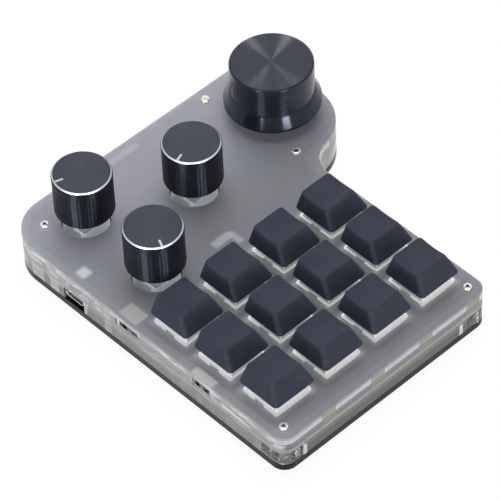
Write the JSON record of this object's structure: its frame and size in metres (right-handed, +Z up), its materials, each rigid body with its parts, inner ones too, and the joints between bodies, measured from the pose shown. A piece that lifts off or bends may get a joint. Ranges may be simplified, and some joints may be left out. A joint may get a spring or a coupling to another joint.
{
  "type": "macro keypad",
  "caption": "Desk macro keypad: low dished keys over white switches, small fluted knobs and one large knob on a layered frosted and clear acrylic case with a lobed corner.",
  "frame": {"origin": "on the table, under the middle of the case outline, at the feet's lower faces", "axes": "+X to the user's right across the key columns, +Y to the back towards the knobs, +Z up out of the deck"},
  "size_m": [0.1168, 0.1324, 0.0384],
  "materials": {
    "smoked_acrylic": "near-black smoked cast acrylic, polished edge",
    "clear_acrylic": "clear cast acrylic, polished edges",
    "frosted_acrylic": "frosted translucent cast acrylic, matt faces",
    "board_laminate": "yellow-green glass epoxy laminate",
    "foot_rubber": "soft black rubber",
    "copper_standoff": "copper-coloured turned standoff",
    "screw_steel": "nickel plated small screws",
    "switch_white": "milky white moulded housing",
    "stem_white": "white low-friction plastic",
    "spring_steel": "fine steel wire",
    "black_plastic": "black moulded plastic",
    "encoder_plastic": "pale grey-green moulded base",
    "encoder_metal": "stamped and plated sheet",
    "port_metal": "drawn stainless shell",
    "led_white": "white lamp package",
    "module_metal": "tinned shielding can",
    "battery_foil": "matt pouch foil",
    "knob_aluminium": "black anodised aluminium with a bright cut chamfer",
    "large_knob_aluminium": "black anodised aluminium, turned",
    "keycap_plastic": "dark slate moulded caps, fine matt texture",
    "rotor_plastic": "ivory plastic",
    "shaft_metal": "turned metal shaft with a flat"
  },
  "bodies": {
    "case": {"bottom_plate": "smoked_acrylic", "lower_frame": "clear_acrylic", "circuit_board": "board_laminate", "upper_frame": "clear_acrylic", "top_plate": "frosted_acrylic", "rubber_feet": "foot_rubber", "standoffs": "copper_standoff", "top_screws": "screw_steel", "bottom_screws": "screw_steel", "switch_bases": "switch_white", "switch_covers": "switch_white", "switch_springs": "spring_steel", "switch_sockets": "black_plastic", "key_diodes": "black_plastic", "encoder_bases": "encoder_plastic", "encoder_frames": "encoder_metal", "usb_port": "port_metal", "slide_switch_shells": "port_metal", "status_led": "led_white", "wireless_module": "module_metal", "battery": "battery_foil", "battery_socket": "black_plastic"},
    "key_1": {"keycap_1": "keycap_plastic", "key_stem_1": "stem_white"},
    "key_2": {"keycap_2": "keycap_plastic", "key_stem_2": "stem_white"},
    "key_3": {"keycap_3": "keycap_plastic", "key_stem_3": "stem_white"},
    "key_4": {"keycap_4": "keycap_plastic", "key_stem_4": "stem_white"},
    "key_5": {"keycap_5": "keycap_plastic", "key_stem_5": "stem_white"},
    "key_6": {"keycap_6": "keycap_plastic", "key_stem_6": "stem_white"},
    "key_7": {"keycap_7": "keycap_plastic", "key_stem_7": "stem_white"},
    "key_8": {"keycap_8": "keycap_plastic", "key_stem_8": "stem_white"},
    "key_9": {"keycap_9": "keycap_plastic", "key_stem_9": "stem_white"},
    "key_10": {"keycap_10": "keycap_plastic", "key_stem_10": "stem_white"},
    "key_11": {"keycap_11": "keycap_plastic", "key_stem_11": "stem_white"},
    "key_12": {"keycap_12": "keycap_plastic", "key_stem_12": "stem_white"},
    "rotor_1": {"encoder_rotor_1": "rotor_plastic"},
    "knob_1": {"encoder_shaft_1": "shaft_metal", "small_knob_1": "knob_aluminium"},
    "rotor_2": {"encoder_rotor_2": "rotor_plastic"},
    "knob_2": {"encoder_shaft_2": "shaft_metal", "small_knob_2": "knob_aluminium"},
    "rotor_3": {"encoder_rotor_3": "rotor_plastic"},
    "knob_3": {"encoder_shaft_3": "shaft_metal", "small_knob_3": "knob_aluminium"},
    "rotor_4": {"encoder_rotor_4": "rotor_plastic"},
    "knob_4": {"encoder_shaft_4": "shaft_metal", "large_knob": "large_knob_aluminium"},
    "power_slide": {"power_slider": "black_plastic"},
    "mode_slide": {"mode_slider": "black_plastic"}
  },
  "joints": [
    {"name": "key_press_1", "type": "slide", "parent": "case", "child": "key_1", "axis": [0, 0, 1], "range_m": [-0.003, 0], "stiffness_N_per_m": 100, "springref_m": 0.0035, "deforming": ["switch_springs"]},
    {"name": "key_press_2", "type": "slide", "parent": "case", "child": "key_2", "axis": [0, 0, 1], "range_m": [-0.003, 0], "stiffness_N_per_m": 100, "springref_m": 0.0035, "deforming": ["switch_springs"]},
    {"name": "key_press_3", "type": "slide", "parent": "case", "child": "key_3", "axis": [0, 0, 1], "range_m": [-0.003, 0], "stiffness_N_per_m": 100, "springref_m": 0.0035, "deforming": ["switch_springs"]},
    {"name": "key_press_4", "type": "slide", "parent": "case", "child": "key_4", "axis": [0, 0, 1], "range_m": [-0.003, 0], "stiffness_N_per_m": 100, "springref_m": 0.0035, "deforming": ["switch_springs"]},
    {"name": "key_press_5", "type": "slide", "parent": "case", "child": "key_5", "axis": [0, 0, 1], "range_m": [-0.003, 0], "stiffness_N_per_m": 100, "springref_m": 0.0035, "deforming": ["switch_springs"]},
    {"name": "key_press_6", "type": "slide", "parent": "case", "child": "key_6", "axis": [0, 0, 1], "range_m": [-0.003, 0], "stiffness_N_per_m": 100, "springref_m": 0.0035, "deforming": ["switch_springs"]},
    {"name": "key_press_7", "type": "slide", "parent": "case", "child": "key_7", "axis": [0, 0, 1], "range_m": [-0.003, 0], "stiffness_N_per_m": 100, "springref_m": 0.0035, "deforming": ["switch_springs"]},
    {"name": "key_press_8", "type": "slide", "parent": "case", "child": "key_8", "axis": [0, 0, 1], "range_m": [-0.003, 0], "stiffness_N_per_m": 100, "springref_m": 0.0035, "deforming": ["switch_springs"]},
    {"name": "key_press_9", "type": "slide", "parent": "case", "child": "key_9", "axis": [0, 0, 1], "range_m": [-0.003, 0], "stiffness_N_per_m": 100, "springref_m": 0.0035, "deforming": ["switch_springs"]},
    {"name": "key_press_10", "type": "slide", "parent": "case", "child": "key_10", "axis": [0, 0, 1], "range_m": [-0.003, 0], "stiffness_N_per_m": 100, "springref_m": 0.0035, "deforming": ["switch_springs"]},
    {"name": "key_press_11", "type": "slide", "parent": "case", "child": "key_11", "axis": [0, 0, 1], "range_m": [-0.003, 0], "stiffness_N_per_m": 100, "springref_m": 0.0035, "deforming": ["switch_springs"]},
    {"name": "key_press_12", "type": "slide", "parent": "case", "child": "key_12", "axis": [0, 0, 1], "range_m": [-0.003, 0], "stiffness_N_per_m": 100, "springref_m": 0.0035, "deforming": ["switch_springs"]},
    {"name": "knob_turn_1", "type": "hinge", "parent": "case", "child": "rotor_1", "pos_m": [-0.037, 0.04905, 0.0166], "axis": [0, 0, 1], "continuous": true},
    {"name": "knob_push_1", "type": "slide", "parent": "rotor_1", "child": "knob_1", "axis": [0, 0, 1], "range_m": [-0.0005, 0], "stiffness_N_per_m": 2000, "springref_m": 0.001},
    {"name": "knob_turn_2", "type": "hinge", "parent": "case", "child": "rotor_2", "pos_m": [-0.0026, 0.03385, 0.0166], "axis": [0, 0, 1], "continuous": true},
    {"name": "knob_push_2", "type": "slide", "parent": "rotor_2", "child": "knob_2", "axis": [0, 0, 1], "range_m": [-0.0005, 0], "stiffness_N_per_m": 2000, "springref_m": 0.001},
    {"name": "knob_turn_3", "type": "hinge", "parent": "case", "child": "rotor_3", "pos_m": [-0.037, 0.01495, 0.0166], "axis": [0, 0, 1], "continuous": true},
    {"name": "knob_push_3", "type": "slide", "parent": "rotor_3", "child": "knob_3", "axis": [0, 0, 1], "range_m": [-0.0005, 0], "stiffness_N_per_m": 2000, "springref_m": 0.001},
    {"name": "knob_turn_4", "type": "hinge", "parent": "case", "child": "rotor_4", "pos_m": [0.0417, 0.04225, 0.0166], "axis": [0, 0, 1], "continuous": true},
    {"name": "knob_push_4", "type": "slide", "parent": "rotor_4", "child": "knob_4", "axis": [0, 0, 1], "range_m": [-0.0005, 0], "stiffness_N_per_m": 2000, "springref_m": 0.001},
    {"name": "power_slide", "type": "slide", "parent": "case", "child": "power_slide", "axis": [0, 1, 0], "range_m": [0, 0.002]},
    {"name": "mode_slide", "type": "slide", "parent": "case", "child": "mode_slide", "axis": [0, 1, 0], "range_m": [-0.0015, 0.0015]}
  ]
}
